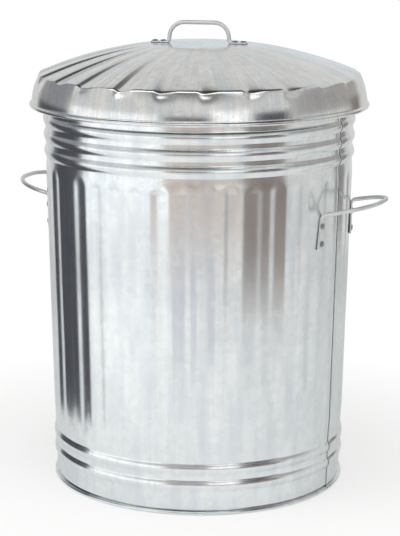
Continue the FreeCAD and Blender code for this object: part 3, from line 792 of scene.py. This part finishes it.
def painted_seam_shade(tree, ray, base, wall, dark):
    """Painted shade: darken the hairlines at the folded seam's edges and the same lines opposite it; ray
    points out of the bin's axis.
    """
    dark_to = 0.0022  # from the middle of a joint, as a share of the wall's radius
    clear_from = 0.0045
    ahead = (-math.sin(wall.seam), math.cos(wall.seam), 0)
    joint_shade = wall.seam_width / 2 + dark_to
    off = add_node(tree, "VectorMath", {"operation": "DOT_PRODUCT", 1: ahead}, {0: ray})
    off = add_node(tree, "Math", {"operation": "ABSOLUTE"}, {0: off.outputs["Value"]})
    off = add_node(tree, "Math", {"operation": "SUBTRACT", 1: joint_shade}, {0: off})
    off = add_node(tree, "Math", {"operation": "ABSOLUTE"}, {0: off})
    clear = add_node(tree, "MapRange", {"From Min": dark_to, "From Max": clear_from}, {"Value": off})
    return add_node(tree, "Mix", {"data_type": "RGBA", 6: linear(dark)}, {0: clear, 7: base}).outputs[2]


def drawn_pattern(tree, ray, slow, width, detail):
    """Streaks down the object: width is theirs round the bin, and slow is the place along them."""
    around = [BIN_RADIUS / width] * 3
    drawn = add_node(tree, "VectorMath", {"operation": "MULTIPLY_ADD", 1: around}, {0: ray, 2: slow})
    return add_node(tree, "TexNoise", {"Scale": 1.0, **detail}, {"Vector": drawn})


def zinc_coating(name, finish, bright, dull, roughness, crystals, streaks, wall=None):
    """A zinc-coated metal with crystals, drawn streaks, drained runs and fine mottling.

    crystals and streaks say how strongly these two show, beside clouds and grain at 1. With the wall's
    sizes it also has painted shade along the joints of the side seam.
    """
    found = bpy.data.materials.get(name)
    if found:
        return found
    material = bpy.data.materials.new(name)
    material.use_nodes = True
    tree = material.node_tree
    shader = tree.nodes["Principled BSDF"]
    shader.inputs["Metallic"].default_value = 1.0
    place = add_node(tree, "TexCoord").outputs["Object"]
    cells = add_node(tree, "TexVoronoi", {"Scale": 1 / finish.spangle}, {"Vector": place})
    cell = add_node(tree, "SeparateColor", links={0: cells.outputs["Color"]})
    flat = add_node(tree, "VectorMath", {"operation": "MULTIPLY", 1: (1, 1, 0)}, {0: place})
    ray = add_node(tree, "VectorMath", {"operation": "NORMALIZE"}, {0: flat})
    slow = add_node(tree, "VectorMath", {"operation": "SCALE", "Scale": 1 / finish.streak_length},
                    {0: place})
    streak = drawn_pattern(tree, ray, slow, finish.streak, {"Detail": 3.0, "Roughness": 0.6})
    cloud = add_node(tree, "TexNoise", {"Scale": 1 / finish.cloud, "Detail": 4.0}, {"Vector": place})
    grain = add_node(tree, "TexNoise", {"Scale": 1 / finish.grain, "Detail": 2.0}, {"Vector": place})
    mixed = add_node(tree, "Math", {"operation": "MULTIPLY_ADD", 1: crystals}, {0: cell, 2: grain})
    mixed = add_node(tree, "Math", {"operation": "MULTIPLY_ADD", 1: streaks}, {0: streak, 2: mixed})
    mixed = add_node(tree, "Math", {"operation": "ADD"}, {0: cloud, 1: mixed})
    middle = 1.0 + (crystals + streaks) / 2
    spread = 0.4
    tone = add_node(tree, "MapRange", {
        "From Min": middle - spread, "From Max": middle + spread}, {"Value": mixed})
    colour = add_node(tree, "Mix", {"data_type": "RGBA", 6: linear(dull), 7: linear(bright)}, {0: tone})
    run = drawn_pattern(tree, ray, slow, finish.run, {"Detail": 1.0})
    run = add_node(tree, "MapRange", {"From Min": 0.42, "From Max": 0.7, "To Max": 0.5}, {"Value": run})
    colour = add_node(tree, "Mix", {"data_type": "RGBA", 7: linear(finish.run_zinc)},
                      {0: run, 6: colour.outputs[2]})
    base = colour.outputs[2]
    # painted shade along the side seam's joints, and the same lines opposite the seam
    if wall:
        base = painted_seam_shade(tree, ray, base, wall, finish.joint_shade)
    tree.links.new(base, shader.inputs["Base Color"])
    rough = add_node(tree, "MapRange", {
        "To Min": roughness + 0.05, "To Max": roughness - 0.03}, {"Value": tone})
    tree.links.new(rough.outputs[0], shader.inputs["Roughness"])
    bump = add_node(tree, "Bump", {"Strength": 0.12, "Distance": 0.0002}, {"Height": mixed})
    tree.links.new(bump.outputs[0], shader.inputs["Normal"])
    return material


def galvanised_sheet(finish):
    """Hot-dip galvanised sheet, rolled: bright zinc with faint crystals and long drawn streaks."""
    return zinc_coating(
        "hot_dip_galvanised_sheet", finish, finish.zinc, finish.zinc_dull,
        roughness=0.19, crystals=0.3, streaks=0.5, wall=bpy.context.scene.dustbin_wall)


def lid_sheet(finish):
    """The same sheet, pressed: the flutes rub it, which leaves radial streaks and a softer shine."""
    return zinc_coating(
        "pressed_galvanised_sheet", finish, finish.lid_zinc, finish.lid_zinc_dull,
        roughness=0.2, crystals=0.3, streaks=1.1)


def galvanised_wire(finish):
    """Hot-dip galvanised wire, drawn: satin zinc, duller where hands rub it."""
    return zinc_coating(
        "galvanised_wire", finish, finish.wire_zinc, finish.wire_dull,
        roughness=0.27, crystals=0.4, streaks=0.3)


def rivet_steel(finish):
    """Zinc-plated rivets, set by hammer: satin heads, darker than the sheet as painted shade for the
    shaded heads.
    """
    return zinc_coating(
        "zinc_plated_rivet", finish, finish.rivet_shaded_zinc, finish.rivet_shaded_dull,
        roughness=0.33, crystals=0.3, streaks=0.2)


METALS = {
    "galvanised_sheet": galvanised_sheet,
    "lid_sheet": lid_sheet,
    "galvanised_wire": galvanised_wire,
    "rivet_steel": rivet_steel,
}


# ---------------- studio

PHOTO_HEIGHT = 536  # pixels
PHOTO_RIGHT = 60  # pixels by which the photo's middle is right of the lens's axis
PHOTO_UP = -90


class DustbinStudio(bpy.types.PropertyGroup):
    """Camera, floor and light"""
    camera_place: FloatVectorProperty(
        name="Camera", description="Place of the camera", size=3, subtype="TRANSLATION",
        default=(0.0, -2.724, 0.921))
    camera_turn: degrees("Camera turn", "Direction of the view, from +Y towards +X", math.degrees(-0.0325))
    camera_dip: degrees("Camera dip", "How far the view looks down", math.degrees(0.1701))
    camera_roll: degrees("Camera roll", "Turn of the picture", math.degrees(-0.0021))
    lens: share("Lens", "Focal length for a sensor 36 mm high, in millimetres", 122.99)
    shift_x: share("Shift X", "Sideways shift of the lens", PHOTO_RIGHT / PHOTO_HEIGHT)
    shift_y: share("Shift Y", "Upward shift of the lens", PHOTO_UP / PHOTO_HEIGHT)
    floor_radius: length("Floor radius", "Radius of the pale floor sheet", 1.7)
    floor: paint("Floor", "Pale matt floor", "#FAFAF9")
    room: paint("Room", "Walls of the room that the metal mirrors", "#DFDEDC")
    ceiling: paint("Ceiling", "Dark ceiling of that room", "#3C3A38")


def floor_material(studio):
    """Matt pale floor: the camera sees it whiter away from the bin, and with the shadow beside it."""
    material = bpy.data.materials.new("pale_floor")
    material.use_nodes = True
    tree = material.node_tree
    lit = tree.nodes["Principled BSDF"]
    lit.inputs["Base Color"].default_value = linear(studio.floor)
    lit.inputs["Roughness"].default_value = 1.0
    lit.inputs["Specular IOR Level"].default_value = 0.0
    path = add_node(tree, "LightPath")
    glow = add_node(tree, "Emission")
    place = add_node(tree, "TexCoord").outputs["Object"]
    away = add_node(tree, "VectorMath", {"operation": "LENGTH"}, {0: place}).outputs["Value"]
    whiter = add_node(tree, "MapRange", {
        "From Min": 0.28, "From Max": 0.7, "To Min": 0.6, "To Max": 1.0}, {"Value": away})
    white = add_node(tree, "Math", {"operation": "MULTIPLY"},
                     {0: path.outputs["Is Camera Ray"], 1: whiter})
    seen = add_node(tree, "MixShader", {}, {0: white, 1: lit, 2: glow})
    tree.links.new(seen.outputs[0], tree.nodes["Material Output"].inputs["Surface"])
    return material


def card(name, direction, half_width, low, high, distance, strength, colour):
    """A curved studio card that only reflections see; direction is from -Y towards +X."""
    steps = 24
    vertices = []
    for i in range(steps + 1):
        turn = math.radians(direction - half_width + 2 * half_width * i / steps)
        for z in (low, high):
            vertices.append((distance * math.sin(turn), -distance * math.cos(turn), z))
    faces = [(2 * i, 2 * i + 2, 2 * i + 3, 2 * i + 1) for i in range(steps)]
    mesh = bpy.data.meshes.new(name)
    mesh.from_pydata(vertices, [], faces)
    material = bpy.data.materials.new(name)
    material.use_nodes = True
    tree = material.node_tree
    glow = add_node(tree, "Emission", {"Color": linear(colour), "Strength": strength})
    tree.links.new(glow.outputs[0], tree.nodes["Material Output"].inputs["Surface"])
    mesh.materials.append(material)
    item = new_object(name, mesh)
    item.visible_camera = False
    item.visible_diffuse = False
    item.visible_shadow = False


def lamp(name, energy, size, place, mirrored):
    """A soft rectangular lamp, aimed at the floor half way between its own foot and the bin."""
    light = bpy.data.lights.new(name, "AREA")
    light.energy = energy
    light.shape = "RECTANGLE"
    light.size, light.size_y = size
    item = new_object(name, light)
    item.location = place
    aim = Vector((place[0] / 2, place[1] / 2, 0)) - item.location
    item.rotation_euler = aim.to_track_quat("-Z", "Y").to_euler()
    item.visible_glossy = mirrored


def studio_world(studio):
    """White straight from the camera, and a pale room with a dark ceiling for the bin and the floor."""
    world = bpy.data.worlds.new("studio")
    bpy.context.scene.world = world
    world.use_nodes = True
    tree = world.node_tree
    path = add_node(tree, "LightPath")
    towards = add_node(tree, "TexCoord").outputs["Generated"]
    overhead = (0, -0.2, 0.95)  # leans, so that the ceiling comes down further in front of the bin
    height = add_node(tree, "VectorMath", {"operation": "DOT_PRODUCT", 1: overhead}, {0: towards})
    ceiling = add_node(tree, "MapRange", {"From Min": 0.62, "From Max": 0.78},
                       {"Value": height.outputs["Value"]})
    colours = {6: linear(studio.room), 7: linear(studio.ceiling)}
    room = add_node(tree, "Mix", {"data_type": "RGBA", **colours}, {0: ceiling})
    seen = add_node(tree, "Mix", {"data_type": "RGBA", 7: linear("#FFFFFF")},
                    {0: path.outputs["Is Camera Ray"], 6: room.outputs[2]})
    tree.links.new(seen.outputs[2], tree.nodes["Background"].inputs["Color"])


def floor_sheet(studio):
    """A round sheet of floor under the bin."""
    mesh = bpy.data.meshes.new("floor")
    work = bmesh.new()
    bmesh.ops.create_circle(work, cap_ends=True, segments=96, radius=studio.floor_radius)
    work.to_mesh(mesh)
    work.free()
    mesh.materials.append(floor_material(studio))
    new_object("floor", mesh)


def studio_camera(studio):
    """The camera, placed by its direction, dip and roll."""
    data = bpy.data.cameras.new("camera")
    data.sensor_width = 36
    data.lens = studio.lens
    data.shift_x = studio.shift_x
    data.shift_y = studio.shift_y
    camera = new_object("camera", data)
    dip = studio.camera_dip
    turn = studio.camera_turn
    ahead = Vector((math.sin(turn) * math.cos(dip), math.cos(turn) * math.cos(dip), -math.sin(dip)))
    right = Vector((math.cos(turn), -math.sin(turn), 0))
    up = right.cross(ahead)
    roll = Matrix.Rotation(-studio.camera_roll, 3, ahead)
    axes = Matrix((roll @ right, roll @ up, -ahead)).transposed()
    camera.matrix_world = Matrix.Translation(studio.camera_place) @ axes.to_4x4()
    bpy.context.scene.camera = camera


# Studio cards: name, direction and half width in degrees from -Y towards +X, lower edge, upper edge and
# distance from the bin's axis in metres, strength, colour.
CARDS = (
    ("left_flag", -94, 18.5, 0.0, 0.58, 0.5, 0.11, "#D0D0E0"),
    ("left_haze", -94, 18.5, 0.58, 1.0, 0.5, 0.42, "#DCDCE0"),
    ("left_softbox", -57, 33, 0.0, 0.8, 1.9, 1.2, "#FFFFFF"),
    ("front_floor", 1, 25, 0.0, 0.5, 1.75, 1.1, "#CDBDB4"),
    ("front_dark", -7, 15, 0.5, 0.75, 1.8, 0.08, "#A0A0D0"),
    ("front_low", -6, 9, 0.0, 0.18, 0.9, 0.92, "#E4E5EC"),
    ("right_softbox", 20, 12, 0.45, 1.0, 1.7, 1.3, "#FFFFFF"),
    ("right_floor", 45, 15.6, 0.0, 0.5, 1.3, 0.48, "#C8B6AC"),
    ("right_dark", 45, 12, 0.5, 0.8, 1.4, 0.08, "#A0A0D0"),
    ("far_softbox", 92, 24, 0.0, 0.6, 1.9, 0.8, "#F4F2EE"),
    ("right_room", 98, 34, 0.6, 1.6, 1.95, 0.55, "#E0DAD6"),
    ("rear_dark", 124, 8, 0.0, 0.7, 1.85, 0.3, "#D8C8BC"),
    ("rear_blue", 180, 20, 0.7, 1.15, 1.9, 1.0, "#E0E8EC"),
)
# Lamps: name, power in watts, width and depth, place, whether the metal mirrors the lamp itself.
LAMPS = (
    ("soft_top", 16, (3.4, 0.9), (-0.3, -1.1, 2.3), True),
    ("left_floor_light", 4.5, (0.8, 0.8), (-1.1, -0.6, 0.9), False),
    ("soft_fill", 28, (3.0, 3.0), (0.65, -1.0, 2.6), False),
)


class DUSTBIN_OT_stage(bpy.types.Operator):
    """Build the floor, the studio cards, the lamps and the camera"""
    bl_idname = "dustbin.build_stage"
    bl_label = "Stage"

    def execute(self, context):
        studio = context.scene.dustbin_studio
        floor_sheet(studio)
        studio_world(studio)
        for settings in CARDS:
            card(*settings)
        for settings in LAMPS:
            lamp(*settings)
        studio_camera(studio)
        context.scene.view_settings.view_transform = "Standard"
        return {"FINISHED"}


class DUSTBIN_PT_panel(bpy.types.Panel):
    """The dustbin's pieces, in the sidebar of the 3D view"""
    bl_label = "Galvanised dustbin"
    bl_idname = "DUSTBIN_PT_panel"
    bl_space_type = "VIEW_3D"
    bl_region_type = "UI"
    bl_category = "Dustbin"

    def draw(self, context):
        for operator in OPERATORS:
            self.layout.operator(operator.bl_idname)
        for name in SETTINGS:
            group = getattr(context.scene, name)
            box = self.layout.box()
            for key in group.__annotations__:
                box.prop(group, key)


SETTINGS = {
    "dustbin_wall": DustbinWallSizes,
    "dustbin_lid": DustbinLidSizes,
    "dustbin_handles": DustbinHandleSizes,
    "dustbin_finish": DustbinFinish,
    "dustbin_studio": DustbinStudio,
}
OPERATORS = (
    DUSTBIN_OT_wall,
    DUSTBIN_OT_pan,
    DUSTBIN_OT_side_handles,
    DUSTBIN_OT_side_rivets,
    DUSTBIN_OT_lid,
    DUSTBIN_OT_lid_handle,
    DUSTBIN_OT_lid_rivets,
    DUSTBIN_OT_stage,
)


def register():
    """Add the settings, the operators and the panel to Blender."""
    for name, group in SETTINGS.items():
        bpy.utils.register_class(group)
        setattr(bpy.types.Scene, name, PointerProperty(type=group))
    for operator in OPERATORS:
        bpy.utils.register_class(operator)
    bpy.utils.register_class(DUSTBIN_PT_panel)


def unregister():
    """Take them out again."""
    bpy.utils.unregister_class(DUSTBIN_PT_panel)
    for operator in reversed(OPERATORS):
        bpy.utils.unregister_class(operator)
    for name, group in reversed(SETTINGS.items()):
        delattr(bpy.types.Scene, name)
        bpy.utils.unregister_class(group)


def main():
    """Build every piece, in the order of OPERATORS."""
    register()
    for operator in OPERATORS:
        getattr(bpy.ops.dustbin, operator.bl_idname.removeprefix("dustbin."))()


if __name__ == "__main__":
    main()
